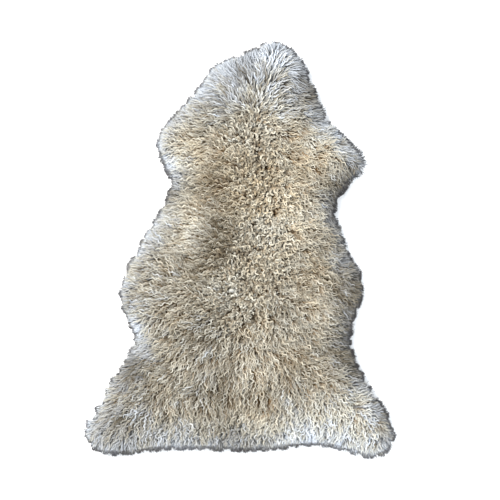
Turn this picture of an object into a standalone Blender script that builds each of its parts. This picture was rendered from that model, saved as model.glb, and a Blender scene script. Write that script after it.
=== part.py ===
"""A sheepskin rug: a tanned hide that lies flat, and on it a long curly fleece.

The wool stands about 50 mm high along the back, less on the flanks and the legs. It
rolls down to the floor past the cut edge of the hide, and ends there in separate locks.
Metres, +Z up, +Y from tail to head. The origin is on the floor, under the rug's middle.
"""

import math
import random

import bmesh
import bpy
import numpy as np
from mathutils import Vector, noise
from mathutils.geometry import delaunay_2d_cdt

MM = 0.001

# Hide
HIDE_THICKNESS = 2.5 * MM
SEAT_GAP = 0.3 * MM  # between the hide and the wool that stands on it
OVERHANG = 28 * MM  # from the cut edge of the hide out to the roots of the rim's locks

# Fleece
BACK_HEIGHT = 49 * MM  # along the spine
FLANK_HEIGHT = 38 * MM  # on the flanks and the legs
ROLL_WIDTH = 70 * MM  # from the rim to where the wool has its height on the flanks
CROWN_WIDTH = 200 * MM  # from the rim to where it has its height on the back
RIM_HEIGHT = 11 * MM  # where the slab of wool ends and its locks start
TUFT_PITCH = 36 * MM  # between the clumps that the staples of wool form
TUFT_RADIUS = 0.7 * TUFT_PITCH  # from the middle of a clump to the valley round it
TUFT_RISE = 8 * MM  # from that valley to the top of the clump
TUFT_MEAN = 0.6  # the share of the rise at which the pile has its plain height
TUFT_DRIFT = 0.4  # how much whole areas of clumps stand higher or lower, as a share of it
TUFT_DRIFT_PITCH = 4 * TUFT_PITCH
LATTICE_PITCH = 15 * MM  # between the points that carry the lumps
LATTICE_CLEARANCE = 8 * MM  # from those points to the rim

# Locks round the rim
LOCK_COUNT = 210
LOCK_LENGTH = 20 * MM
LOCK_REACH = 7 * MM  # how far a lock of that length reaches past the outline below
LOCK_LENGTH_SPREAD = 0.45  # as a share of the length
LOCK_ROOT_SPREAD = 0.22  # how unevenly their roots divide the rim, as a share of one root
LOCK_SWEEP = 7 * MM  # how far a tip lies to one side at most
LOCK_TUFT = 50 * MM  # locks this near one another have a like length and sweep
LOCK_OWN_LENGTH = 0.6  # how far a lock's length strays from its neighbours', in spreads
LOCK_OWN_SWEEP = 0.2  # the same for its sweep
LOCK_STEPS = (  # (share of the length, width and height as shares of the root's)
    (0.42, 0.74, 0.62),
    (0.78, 0.40, 0.28),
)
CURVE_STEPS = 40  # stretches between two landmarks, where the outline is measured
MERGE_DISTANCE = 0.01 * MM
SHARP_ANGLE = math.radians(50)
SEED = 7

# The edge of the wool as it lies, clockwise from the head and seen from above.
OUTLINE_COLUMNS = ("landmark", "across_mm", "along_mm")
OUTLINE = (
    ("crown", 95, 527),
    ("crown, right", 155, 480),
    ("neck, right", 191, 395),
    ("neck root, right", 216, 325),
    ("shoulder, right", 262, 275),
    ("fore leg, right", 303, 213),
    ("fore leg back, right", 274, 170),
    ("armpit, right", 235, 98),
    ("ribs, right", 266, -15),
    ("belly, right", 296, -88),
    ("flank, right", 263, -215),
    ("thigh, right", 300, -312),
    ("hind leg, right", 357, -405),
    ("hind foot, right", 345, -465),
    ("hind foot inside, right", 290, -482),
    ("rump, right", 190, -459),
    ("tail", 20, -469),
    ("rump, left", -150, -465),
    ("hind foot inside, left", -260, -476),
    ("hind foot, left", -332, -468),
    ("hind leg, left", -350, -415),
    ("thigh, left", -302, -315),
    ("flank, left", -246, -213),
    ("belly, left", -285, -108),
    ("ribs, left", -238, 15),
    ("armpit, left", -190, 98),
    ("fore leg back, left", -170, 168),
    ("fore leg, left", -204, 262),
    ("shoulder, left", -160, 335),
    ("neck, left", -104, 405),
    ("crown, left", -62, 462),
    ("crown dip", 42, 512),
)


def landmarks():
    """The outline's landmarks as an array of points, in metres."""
    across = OUTLINE_COLUMNS.index("across_mm")
    along = OUTLINE_COLUMNS.index("along_mm")
    return np.array([(row[across], row[along]) for row in OUTLINE]) * MM


def inset(loop, distance):
    """A clockwise loop moved inwards by distance, square to itself at each point."""
    along = np.roll(loop, -1, axis=0) - np.roll(loop, 1, axis=0)
    along /= np.linalg.norm(along, axis=1)[:, None]
    inward = np.stack([along[:, 1], -along[:, 0]], axis=1)
    return loop + distance * inward


def curve_at(loop, turn):
    """Points of the closed Catmull-Rom curve through loop; turn counts landmarks."""
    span = np.floor(turn).astype(int)
    t = (turn - span)[:, None]
    before, start, end, after = (loop[(span + step) % len(loop)] for step in (-1, 0, 1, 2))
    return 0.5 * (
        2 * start
        + (end - before) * t
        + (2 * before - 5 * start + 4 * end - after) * t**2
        + (3 * start - before - 3 * end + after) * t**3
    )


def lock_turns(loop, rng):
    """Where on the curve through loop one lock ends and the next starts."""
    fine = np.linspace(0, len(loop), CURVE_STEPS * len(loop) + 1)
    steps = np.linalg.norm(np.diff(curve_at(loop, fine), axis=0), axis=1)
    length = np.concatenate([[0], np.cumsum(steps)])
    stops = [i + 0.5 + LOCK_ROOT_SPREAD * rng.uniform(-1, 1) for i in range(LOCK_COUNT)]
    return np.interp(np.array(stops) / LOCK_COUNT * length[-1], length, fine)


def inside(points, loop):
    """True for each point that lies within the loop."""
    odd = np.zeros(len(points), bool)
    for (ax, ay), (bx, by) in zip(loop, np.roll(loop, -1, axis=0), strict=True):
        spans = (ay > points[:, 1]) != (by > points[:, 1])
        if spans.any():
            crossing = ax + (points[:, 1] - ay) * (bx - ax) / (by - ay)
            odd ^= spans & (points[:, 0] < crossing)
    return odd


def rim_distance(points, loop):
    """How far each point is from the nearest stretch of the loop."""
    ends = np.roll(loop, -1, axis=0)
    along = ends - loop
    best = np.full(len(points), np.inf)
    for start, step in zip(loop, along, strict=True):
        t = np.clip((points - start) @ step / (step @ step), 0, 1)
        best = np.minimum(best, np.linalg.norm(points - start - t[:, None] * step, axis=1))
    return best


def wool_height(x, y, from_rim):
    """The top of the wool: a quarter-round roll up from the rim, a low crown, and clumps."""
    share = min(from_rim / ROLL_WIDTH, 1)
    roll = math.sqrt(1 - (1 - share) ** 2)
    crown = math.sin(math.pi / 2 * min(from_rim / CROWN_WIDTH, 1))
    plain = RIM_HEIGHT + (FLANK_HEIGHT - RIM_HEIGHT) * roll + (BACK_HEIGHT - FLANK_HEIGHT) * crown
    place = Vector((x, y, 0))
    nearest = noise.voronoi(place / TUFT_PITCH)[0][0] * TUFT_PITCH
    clump = 1 - min(nearest / TUFT_RADIUS, 1) ** 2  # 1 on top of a clump and 0 between clumps
    drift = noise.noise(place / TUFT_DRIFT_PITCH)
    return plain + TUFT_RISE * (clump - TUFT_MEAN + TUFT_DRIFT * drift) * share


def lattice(rim):
    """A triangular lattice of points inside the rim, a little clear of it."""
    low, high = rim.min(axis=0), rim.max(axis=0)
    row_pitch = LATTICE_PITCH * math.sqrt(3) / 2
    rows = np.arange(low[1], high[1], row_pitch)
    points = [
        (x + (row % 2) * LATTICE_PITCH / 2, y)
        for row, y in enumerate(rows)
        for x in np.arange(low[0], high[0], LATTICE_PITCH)
    ]
    points = np.array(points)
    points = points[inside(points, rim)]
    return points[rim_distance(points, rim) > LATTICE_CLEARANCE]


def add_top(bm, rim, top_loop):
    """The lumpy top of the wool, over a lattice of points joined to the rim's own."""
    inner = lattice(rim)
    heights = [
        wool_height(x, y, far) for (x, y), far in zip(inner, rim_distance(inner, rim), strict=True)
    ]
    verts = list(top_loop) + [
        bm.verts.new((x, y, z)) for (x, y), z in zip(inner, heights, strict=True)
    ]
    flat = [Vector(point) for point in np.concatenate([rim, inner])]
    edges = [(i, (i + 1) % len(rim)) for i in range(len(rim))]
    triangles = delaunay_2d_cdt(flat, edges, [], 1, MERGE_DISTANCE)[2]
    for a, b, c in triangles:
        bm.faces.new((verts[a], verts[b], verts[c]))


def bridge(bm, first, second):
    """Quads between two loops that have the same number of points."""
    for i in range(len(first)):
        j = (i + 1) % len(first)
        bm.faces.new((first[i], first[j], second[j], second[i]))


def add_lock(bm, root, outward, length, sweep):
    """One four-sided lock from a root of (low, low, high, high) points to its tip.

    Its underside stays on the floor all the way.
    """
    aside = Vector((-outward.y, outward.x, 0))
    foot = (root[0].co + root[1].co) / 2
    half_width = (root[1].co - root[0].co) / 2
    height = (root[2].co.z + root[3].co.z) / 2
    ring = root
    for share, width, rise in LOCK_STEPS:
        centre = foot + outward * length * share + aside * sweep * share**2
        left, right = centre - half_width * width, centre + half_width * width
        up = Vector((0, 0, height * rise))
        step = [bm.verts.new(point) for point in (left, right, right + up, left + up)]
        for k in range(4):
            bm.faces.new((ring[k], ring[(k + 1) % 4], step[(k + 1) % 4], step[k]))
        ring = step
    tip = bm.verts.new(foot + outward * length + aside * sweep)
    for k in range(4):
        bm.faces.new((ring[k], ring[(k + 1) % 4], tip))


def add_rim_locks(bm, floor_loop, top_loop, rng):
    """A lock on each stretch of the rim, each with its own length and sweep."""
    count = len(floor_loop)
    elsewhere = Vector((0, 0, count))
    for i in range(count):
        j = (i + 1) % count
        along = (floor_loop[j].co - floor_loop[i].co).normalized()
        outward = Vector((-along.y, along.x, 0))
        place = floor_loop[i].co / LOCK_TUFT
        longer = noise.noise(place) + LOCK_OWN_LENGTH * rng.uniform(-1, 1)
        aside = noise.noise(place + elsewhere) + LOCK_OWN_SWEEP * rng.uniform(-1, 1)
        length = LOCK_LENGTH * (1 + LOCK_LENGTH_SPREAD * longer)
        sweep = LOCK_SWEEP * aside
        root = (floor_loop[i], floor_loop[j], top_loop[j], top_loop[i])
        add_lock(bm, root, outward, length, sweep)


def loop_of(bm, points, z):
    return [bm.verts.new((x, y, z)) for x, y in points]


def material(name, colour, roughness):
    made = bpy.data.materials.new(name)
    made.use_nodes = True
    shader = made.node_tree.nodes["Principled BSDF"]
    shader.inputs["Base Color"].default_value = (*colour, 1)
    shader.inputs["Roughness"].default_value = roughness
    shader.inputs["Metallic"].default_value = 0
    return made


def add_object(name, bm, finish):
    """Turns a bmesh into an object of that name and finish, with its faces pointing out."""
    bmesh.ops.recalc_face_normals(bm, faces=bm.faces)
    mesh = bpy.data.meshes.new(name)
    bm.to_mesh(mesh)
    bm.free()
    mesh.materials.append(finish)
    made = bpy.data.objects.new(name, mesh)
    bpy.context.scene.collection.objects.link(made)
    return made


def make_hide(edge):
    """The tanned skin: a flat sheet cut to the animal's outline."""
    bm = bmesh.new()
    under = loop_of(bm, edge, 0)
    over = loop_of(bm, edge, HIDE_THICKNESS)
    bridge(bm, under, over)
    bm.faces.new(under)
    bm.faces.new(over)
    return add_object("hide", bm, material("suede", (0.62, 0.52, 0.40), 0.9))


def make_fleece(rim, pocket, rng):
    """The wool: a lumpy slab with a shallow pocket that the hide fills, and locks at its rim."""
    bm = bmesh.new()
    floor_loop = loop_of(bm, rim, 0)
    top_loop = loop_of(bm, rim, RIM_HEIGHT)
    pocket_mouth = loop_of(bm, pocket, 0)
    pocket_roof = loop_of(bm, pocket, HIDE_THICKNESS + SEAT_GAP)
    bridge(bm, floor_loop, pocket_mouth)
    bridge(bm, pocket_mouth, pocket_roof)
    bm.faces.new(pocket_roof)
    add_top(bm, rim, top_loop)
    add_rim_locks(bm, floor_loop, top_loop, rng)
    fleece = add_object("fleece", bm, material("wool", (0.72, 0.62, 0.46), 0.85))
    fleece.data.shade_smooth()
    fleece.data.set_sharp_from_angle(angle=SHARP_ANGLE)
    return fleece


def centre_on_floor(objects):
    """Moves the meshes so that the origin is under the middle of their common box."""
    points = np.array([v.co for obj in objects for v in obj.data.vertices])
    middle = (points.min(axis=0) + points.max(axis=0)) / 2
    for obj in objects:
        for vertex in obj.data.vertices:
            vertex.co.x -= middle[0]
            vertex.co.y -= middle[1]


def main():
    for obj in list(bpy.data.objects):
        bpy.data.objects.remove(obj)
    rng = random.Random(SEED)
    outline = landmarks()
    turns = lock_turns(outline, rng)
    rim = curve_at(inset(outline, LOCK_LENGTH - LOCK_REACH), turns)
    hide_edge = curve_at(inset(outline, LOCK_LENGTH - LOCK_REACH + OVERHANG), turns)
    hide = make_hide(hide_edge)
    fleece = make_fleece(rim, inset(hide_edge, -SEAT_GAP), rng)
    centre_on_floor([hide, fleece])


main()
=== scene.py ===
# %% [markdown]
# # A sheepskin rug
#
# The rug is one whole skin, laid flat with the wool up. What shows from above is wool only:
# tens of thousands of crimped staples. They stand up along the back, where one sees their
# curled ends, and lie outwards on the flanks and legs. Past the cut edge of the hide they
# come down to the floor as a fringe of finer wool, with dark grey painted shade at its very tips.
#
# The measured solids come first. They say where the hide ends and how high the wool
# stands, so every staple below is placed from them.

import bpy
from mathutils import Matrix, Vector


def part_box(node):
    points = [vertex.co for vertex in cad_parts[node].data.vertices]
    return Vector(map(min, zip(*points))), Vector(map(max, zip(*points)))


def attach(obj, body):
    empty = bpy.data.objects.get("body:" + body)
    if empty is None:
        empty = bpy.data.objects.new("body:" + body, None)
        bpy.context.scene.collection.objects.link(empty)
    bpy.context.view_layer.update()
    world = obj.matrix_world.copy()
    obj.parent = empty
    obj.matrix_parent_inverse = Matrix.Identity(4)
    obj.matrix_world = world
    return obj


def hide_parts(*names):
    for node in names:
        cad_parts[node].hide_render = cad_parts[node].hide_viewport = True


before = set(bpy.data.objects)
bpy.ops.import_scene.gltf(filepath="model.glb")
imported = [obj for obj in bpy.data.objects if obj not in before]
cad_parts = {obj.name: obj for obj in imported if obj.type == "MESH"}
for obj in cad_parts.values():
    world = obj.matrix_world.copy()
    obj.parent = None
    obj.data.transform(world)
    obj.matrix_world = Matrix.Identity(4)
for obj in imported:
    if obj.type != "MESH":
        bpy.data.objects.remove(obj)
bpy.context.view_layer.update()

import math

import bmesh
import bpy
import numpy as np
from mathutils import Vector
from mathutils.bvhtree import BVHTree
from mathutils.geometry import delaunay_2d_cdt

MM = 0.001

# %% [markdown]
# ## The outline
#
# The hide is a flat sheet with a low wall all round, where it was cut. Each face of the wall
# stands on one short piece of the edge. Followed end to end these pieces make a loop, and
# moving that loop outwards gives the rim, where the thick of the wool ends. The outline
# could be drawn again by hand, but read from the solid it can't drift away from it.

# %% The hide's edge
WALL_STEEPNESS = 0.5  # a face whose normal rises less than this is part of the wall


def edge_of(node):
    """The foot of a flat node's wall, clockwise round the rug as seen from above."""
    verts = node.data.vertices
    place = [tuple(round(c, 5) for c in v.co[:2]) for v in verts]
    floor_level = min(v.co.z for v in verts) + MM / 10
    before = {}  # a wall's corners run anticlockwise, so the loop is followed backwards
    for face in node.data.polygons:
        corners = list(face.vertices)
        for a, b in zip(corners, corners[1:] + corners[:1]):
            on_floor = verts[a].co.z < floor_level and verts[b].co.z < floor_level
            if abs(face.normal.z) < WALL_STEEPNESS and on_floor:
                before[place[b]] = place[a]
    loop = [max(before)]
    while before[loop[-1]] != loop[0]:
        loop.append(before[loop[-1]])
    return np.array(loop)


hide_edge = edge_of(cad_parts["hide"])
print("edge points:", len(hide_edge), "widest step:",
      round(np.linalg.norm(np.diff(hide_edge, axis=0), axis=1).max(), 4))

# %% The wool's rim
OVERHANG = 34 * MM  # from the hide's edge out to the rim
KEEP_FROM = 0.97  # a rim point nearer the edge than this share of OVERHANG has crossed over


def outward_of(loop):
    """A unit vector at each point of a clockwise loop, square to it."""
    along = np.roll(loop, -1, axis=0) - np.roll(loop, 1, axis=0)
    along /= np.linalg.norm(along, axis=1)[:, None]
    return np.stack([-along[:, 1], along[:, 0]], axis=1)


def distance_to(loop, points):
    """How far each point is from the nearest stretch of a loop."""
    steps = np.roll(loop, -1, axis=0) - loop
    best = np.full(len(points), np.inf)
    for start, step in zip(loop, steps):
        t = np.clip((points - start) @ step / (step @ step), 0, 1)
        best = np.minimum(best, np.linalg.norm(points - start - t[:, None] * step, axis=1))
    return best


def grown_by(loop, width):
    """The loop moved outwards. In a tight inner corner its points cross over, so those are
    put back in line between their neighbours."""
    moved = loop + width * outward_of(loop)
    number = np.arange(len(moved))
    kept = distance_to(loop, moved) > width * KEEP_FROM
    return np.stack([np.interp(number, number[kept], moved[kept, axis], period=len(moved))
                     for axis in (0, 1)], axis=1)


rim = grown_by(hide_edge, OVERHANG)
print("rim:", [round(side, 3) for side in np.ptp(rim, axis=0)])

# %% [markdown]
# ## Which way the wool lies
#
# Each staple falls towards the rim that is nearest. A simple rule gives that everywhere:
# every point of the rim pulls, and near points pull far harder than distant ones. On the
# flank all the pull is one way, and the wool lies flat. Along the back the pulls from
# both sides cancel, and the wool stands. The wool could be combed by hand in Blender's
# sculpt mode instead, but a rule can be changed later and gives the same rug each time.

# %% The pull of the rim
PULL_FALLOFF = 3
PULL_SOFTNESS = 5 * MM  # so that a point right at the rim isn't pulled without end


def comb_at(points):
    """The pull of the rim on each point: its direction, with a length from 0 to 1."""
    away = rim[None] - points[:, None]
    reach = np.linalg.norm(away, axis=2)[..., None]
    weight = (reach + PULL_SOFTNESS) ** -PULL_FALLOFF
    return (away / (reach + MM) * weight).sum(axis=1) / weight.sum(axis=1)


def unit(vectors):
    return vectors / np.linalg.norm(vectors, axis=1)[:, None]


def step_up(value, low, high):
    """0 below low, 1 above high, smooth between."""
    t = np.clip((value - low) / (high - low), 0, 1)
    return t * t * (3 - 2 * t)


def spot(points, middle, width):
    """1 in the middle of a soft round spot, falling to 0 around it."""
    return np.exp(-(np.linalg.norm(points - middle, axis=1) / width) ** 2)


# %% [markdown]
# ## How growth and the brush change that
#
# On a real skin the wool also runs from head to tail, and it lies the way it was last
# brushed. Each such habit below is a soft push added to the pull, in one part of the rug.
# At the rim itself they fade out, because there the wool has nowhere else to fall.

# %% The comb: a direction, and how strongly the wool follows it
SIDEWAYS = 0.6  # the wool parts along the back, so it falls to the sides more than to the ends
GROWTH_PULL = 0.05  # all wool grows a little towards the tail
TAIL_PULL, TAIL_FROM, TAIL_TO = 0.75, 0.10, 0.35  # behind the loin the wool runs to the tail
RIGHT_FROM, RIGHT_TO = 0.04, 0.16  # less so on the right, from here outwards
RIGHT_HOLDS = 0.65  # the share of TAIL_PULL that is missing there
RIGHT_PULL, BRUSHED_FROM, BRUSHED_TO = 0.28, -0.24, -0.12  # whose flank was brushed that way
LEFT_PULL, LEFT_MIDDLE, LEFT_WIDTH = 0.25, 0.08, 0.17  # the shoulders' wool falls to the left
FORELEG, FORELEG_WIDTH, FORELEG_PULL = (0.19, 0.21), 95 * MM, np.array([0.9, -0.4])
TRUE_BAND = 50 * MM  # nearer the rim than this the wool follows the pull more and more
TRUE_LEAST = 0.4  # how much of the pushes is left at the rim
UNTURNED = 10 * MM  # this near the rim the foreleg's own push is nothing


def combed(points, pull, distance):
    """The pull, as the growth of the wool and the brush have changed it."""
    x, y = points.T
    right = step_up(x, RIGHT_FROM, RIGHT_TO)
    tail = GROWTH_PULL + TAIL_PULL * step_up(-y, TAIL_FROM, TAIL_TO) * (1 - RIGHT_HOLDS * right)
    tail += RIGHT_PULL * right * step_up(y, BRUSHED_FROM, BRUSHED_TO)
    left = LEFT_PULL * np.exp(-((y - LEFT_MIDDLE) / LEFT_WIDTH) ** 2)
    comb = pull * (1, SIDEWAYS) - np.stack([left, tail], axis=1)
    inner = step_up(distance, UNTURNED, TRUE_BAND)
    comb += (inner * spot(points, FORELEG, FORELEG_WIDTH))[:, None] * FORELEG_PULL
    freedom = TRUE_LEAST + (1 - TRUE_LEAST) * step_up(distance, 0, TRUE_BAND)[:, None]
    return pull + (comb - pull) * freedom


# %% How far it is to the rim
FARTHEST = 0.2  # no staple needs to know of a rim farther off than this
PARALLEL = 1e-9  # below this two lines never meet


def reach_along(points, ways):
    """How far it is from each point to the rim, going its own way."""
    steps = np.roll(rim, -1, axis=0) - rim
    reach = np.full(len(points), FARTHEST)
    for start, step in zip(rim, steps):
        offset = start - points
        slant = ways[:, 0] * step[1] - ways[:, 1] * step[0]
        slant = np.where(np.abs(slant) < PARALLEL, PARALLEL, slant)
        along = (offset[:, 0] * step[1] - offset[:, 1] * step[0]) / slant
        share = (offset[:, 0] * ways[:, 1] - offset[:, 1] * ways[:, 0]) / slant
        hit = (along > 0) & (share >= 0) & (share <= 1)
        reach = np.where(hit, np.minimum(reach, along), reach)
    return reach


def inside_rim(points):
    """True for each point within the rim."""
    odd = np.zeros(len(points), bool)
    for (ax, ay), (bx, by) in zip(rim, np.roll(rim, -1, axis=0)):
        spans = (ay > points[:, 1]) != (by > points[:, 1])
        if spans.any():
            odd ^= spans & (points[:, 0] < ax + (points[:, 1] - ay) * (bx - ax) / (by - ay))
    return odd


# %% [markdown]
# ## The undercoat
#
# Between the staples one looks down into short dense wool. It could be left out, but then
# the hide would show through every gap. Here it is a closed, lumpy bed that follows the
# solid's top from below: deep where the staples stand, shallow where they lie flat. It is
# also the ground that the staples grow from, so it carries what they need to know at each
# point, as attributes.

# %% Points of the undercoat
BED_PITCH = 7.5 * MM
BED_CLEARANCE = 3 * MM  # from the points inside to the rim


def bed_points():
    """An even triangular lattice of points within the rim."""
    low, high = rim.min(axis=0), rim.max(axis=0)
    rows = np.arange(low[1], high[1], BED_PITCH * math.sqrt(3) / 2)
    points = np.array([
        (x + (row % 2) * BED_PITCH / 2, y)
        for row, y in enumerate(rows)
        for x in np.arange(low[0], high[0], BED_PITCH)
    ])
    points = points[inside_rim(points)]
    return points[distance_to(rim, points) > BED_CLEARANCE]


flat_points = np.concatenate([rim, bed_points()])
distance = distance_to(rim, flat_points)
pull = comb_at(flat_points)
comb = combed(flat_points, pull, distance)
reach = reach_along(flat_points, unit(comb))
reach[:len(rim)] = 0
print("undercoat:", len(flat_points), "points")

# %% How much the wool leans
STANDS_BELOW, LIES_ABOVE = 0.08, 0.63  # lengths of the comb at which wool stands, and lies flat
HEAD_FROM, HEAD_TO = 0.20, 0.36  # from the neck to the poll
HEAD_LEAN = 0.45  # how much flatter the wool lies on the head
TAIL_ENDS_FROM, TAIL_ENDS_TO, TAIL_ENDS_WIDTH = 0.38, 0.44, 0.22
TAIL_STANDS = 0.6  # how much of its lean the wool by the tail gives up
TAIL_ENDS_BAND = 25 * MM, 45 * MM  # but not at the rim: none at the first, all at the second

lean = (np.linalg.norm(comb, axis=1) - STANDS_BELOW) / (LIES_ABOVE - STANDS_BELOW)
sleek = step_up(flat_points[:, 1], HEAD_FROM, HEAD_TO)  # the head is smooth
lean = np.clip(lean + HEAD_LEAN * sleek, 0, 1)
tail_tips = step_up(-flat_points[:, 1], TAIL_ENDS_FROM, TAIL_ENDS_TO)
tail_tips *= np.exp(-(flat_points[:, 0] / TAIL_ENDS_WIDTH) ** 4)
lean *= 1 - TAIL_STANDS * tail_tips * step_up(distance, *TAIL_ENDS_BAND)
print("lean:", round(lean.min(), 2), "to", round(lean.max(), 2), "mean", round(lean.mean(), 2))

# %% How high the undercoat is
DEPTH_STANDING = 9.5 * MM  # from the top of the wool down to the bed, where staples stand
DEPTH_LYING = 7 * MM
DEPTH_AT_RIM = 2 * MM
RIM_BLEND = 65 * MM  # how far in from the rim the bed takes to reach its depth
RIM_HEIGHT, RIM_SLOPE = 3 * MM, 0.3  # the bed is at least this high at the rim and inwards of it
SLOPE_WIDTH = 30 * MM


def solid_top(points):
    """The height of the fleece's solid over each point."""
    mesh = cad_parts["fleece"].data
    tree = BVHTree.FromPolygons([v.co for v in mesh.vertices], [p.vertices for p in mesh.polygons])
    down = Vector((0, 0, -1))
    hits = [tree.ray_cast(Vector((x, y, 1)), down)[0] for x, y in points]
    return np.array([hit.z if hit else 0 for hit in hits])


depth = DEPTH_STANDING + (DEPTH_LYING - DEPTH_STANDING) * lean
depth = DEPTH_AT_RIM + (depth - DEPTH_AT_RIM) * np.minimum(distance / RIM_BLEND, 1)
lowest = RIM_HEIGHT + RIM_SLOPE * np.minimum(distance, SLOPE_WIDTH)
heights = np.maximum(solid_top(flat_points) - depth, lowest)
heights[:len(rim)] = RIM_HEIGHT
print("bed:", len(flat_points), "points,", round(heights.min(), 4), "to", round(heights.max(), 4))

# %% [markdown]
# ## Where the wool is duller, and where shade and light are painted
#
# No fleece is one white. The rim on one side, facing away from the key lamp, gets painted
# shade, and soft spots of painted shade and painted light are duller or brighter than the
# wool round them. Painting them by hand on the mesh would do as well, but a list is easier
# to change. Each spot is round, and is given by its middle, its width and how much duller
# it makes the wool. On one foreleg the wool is also longer.

# %% Spots of painted shade and painted light
SPOTS = (  # what lies there, across and along in metres, width in mm, how much painted shade (below 0, painted light)
    ("crown", 0.02, 0.475, 35, 0.75),
    ("left cheek", -0.145, 0.30, 45, 0.12),
    ("right cheek", 0.155, 0.37, 45, 0.3),
    ("poll", 0.04, 0.31, 80, -0.12),
    ("right foreleg", 0.18, 0.22, 55, -0.45),
    ("behind the right foreleg", 0.235, 0.115, 45, 0.75),
    ("right side", 0.262, -0.14, 52, 0.55),
    ("right loin", 0.068, -0.157, 35, 0.2),
    ("left rib", -0.03, -0.035, 40, 0.25),
    ("left hip", -0.076, -0.19, 42, 0.25),
    ("left shoulder", -0.1, 0.045, 42, -0.4),
    ("left hock", -0.27, -0.46, 70, 0.15),
    ("behind the left foreleg", -0.172, 0.12, 42, 0.75),
    ("right flank", 0.255, -0.265, 42, 0.9),
    ("left flank", -0.27, -0.26, 50, 0.15),
    ("left edge", -0.3, -0.1, 50, 0.15),
    ("right hind edge", 0.345, -0.385, 45, 1.0),
    ("tail", -0.02, -0.475, 70, 0.35),
    ("spine", -0.03, 0.012, 50, 0.4),
    ("neck", -0.03, 0.13, 60, 0.2),
    ("brow", 0.02, 0.385, 30, 0.3),
    ("left haunch", -0.08, -0.08, 38, 0.3),
    ("croup", -0.02, -0.26, 50, 0.12),
    ("left nape", -0.01, 0.29, 40, 0.15),
    ("left hind foot", -0.26, -0.4, 25, 0.2),
    ("left belly", -0.22, -0.2, 32, -0.2),
    ("right belly", 0.16, -0.157, 38, -0.25),
    ("left thigh", -0.235, -0.305, 45, 0.45),
    ("left side", -0.27, -0.157, 35, 0.25),
    ("left loin", -0.05, -0.34, 45, 0.3),
    ("right thigh", 0.22, -0.43, 85, -0.5),
    ("right hock", 0.25, -0.475, 80, -0.7),
    ("back", 0.08, 0.06, 80, -0.2),
    ("right shoulder", 0.14, 0.06, 45, -0.35),
    ("left neck", -0.11, 0.2, 50, -0.45),
    ("rump", 0.02, -0.29, 40, -0.35),
    ("right temple", 0.068, 0.428, 30, -0.4),
    ("by the tail", 0.12, -0.44, 60, -0.3),
    ("rump middle", 0.03, -0.4, 35, -0.4),
    ("left flank middle", -0.1, -0.01, 45, -0.25),
)
print("spots:", len(SPOTS))

# %% How straw-coloured, how dull and shaded, and how long the wool is
PALE, STRAW = 0.08, 0.37  # the tint at the rim, and what the inside adds to it
PALE_BAND = 12 * MM, 110 * MM  # where that begins, and where it is full
HEAD_PALER = 0.13  # how much of the tint is missing on the head
FORE_WARMER, FORE_FROM, FORE_TO = 0.18, -0.15, 0.2
NECK_COOLER, NECK_FROM, NECK_TO = 2.5, 0.18, 0.44  # as a share of FORE_WARMER
HIND_COOLER, HIND_FROM, HIND_TO = 0.07, 0.22, 0.42
DULL_AT_RIM, DULL_INSIDE, DULL_BLEND = 0.18, 0.49, 70 * MM
SIDE_SHADE_MOST, SIDE_SHADE_BAND = 0.66, 56 * MM  # how much painted shade the right side's rim gets, how far in from the rim
SIDE_SHADE_SPREAD = 1.3  # how far round the rug the side with painted shade reaches
SIDE_SHADE_FORE, SIDE_SHADE_HIND = 1.0, 0.3  # how much the rim is spared the painted shade where it faces forwards
SIDE_SHADE_FROM, SIDE_SHADE_TO = -0.2, 0.1  # where along the rug the hind value becomes the fore one
DULL_AND_SHADE_MOST = 0.88
LONG_SPOT, LONG_WIDTH, LONGER = (0.285, 0.195), 34 * MM, 0.9  # the foreleg's longer wool


def tint_at(points):
    """0 for white wool, as at the rim, up to 1 for straw-coloured. The shoulders are warmest."""
    y = points[:, 1]
    inwards = step_up(distance_to(rim, points), *PALE_BAND)
    fore = step_up(y, FORE_FROM, FORE_TO) * (1 - NECK_COOLER * step_up(y, NECK_FROM, NECK_TO))
    hind = step_up(-y, HIND_FROM, HIND_TO)
    warmth = STRAW + FORE_WARMER * fore - HIND_COOLER * hind
    return PALE - HEAD_PALER * step_up(y, HEAD_FROM, HEAD_TO) + inwards * warmth


def dull_and_shade_at(points, pull):
    """How dull the wool is at each point, from 0 to 1, with painted shade on the right side's rim."""
    away = distance_to(rim, points)
    outward = unit(pull)
    dull_and_shade = DULL_AT_RIM + (DULL_INSIDE - DULL_AT_RIM) * np.minimum(away / DULL_BLEND, 1)
    unshaded = SIDE_SHADE_HIND + (SIDE_SHADE_FORE - SIDE_SHADE_HIND) * step_up(points[:, 1], SIDE_SHADE_FROM, SIDE_SHADE_TO)
    # Painted shade on the rim that faces right, away from the key lamp.
    side_shade = np.clip(SIDE_SHADE_SPREAD * outward[:, 0], 0, 1)
    side_shade *= 1 - np.clip(outward[:, 1], 0, 1) * unshaded
    dull_and_shade += SIDE_SHADE_MOST * side_shade * np.exp(-(away / SIDE_SHADE_BAND) ** 2)
    # Each spot adds painted shade, and below 0 painted light.
    for _, x, y, width, duller in SPOTS:
        dull_and_shade += duller * spot(points, (x, y), width * MM)
    return np.clip(dull_and_shade, 0, DULL_AND_SHADE_MOST)


tint, dull_and_shade = tint_at(flat_points), dull_and_shade_at(flat_points, pull)
longer = 1 + LONGER * spot(flat_points, LONG_SPOT, LONG_WIDTH)
print("tint:", round(tint.mean(), 2), "dull:", round(dull_and_shade.mean(), 2), "on average")

# %% [markdown]
# ## The undercoat as a closed mesh
#
# The points become a surface by a Delaunay triangulation, which joins each point to its
# nearest neighbours and keeps the rim as its border. A grid with its outside cut off would
# be simpler, but its border would be a staircase. The side then drops to the floor, and
# the underside has a pocket that makes room for the hide.

# %% The mesh
HIDE_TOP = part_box("hide")[1].z
SEAT_GAP = 0.3 * MM


def ring(count, first):
    """Point numbers of a closed loop, and of the next point along it."""
    return [(first + i, first + (i + 1) % count) for i in range(count)]


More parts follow.
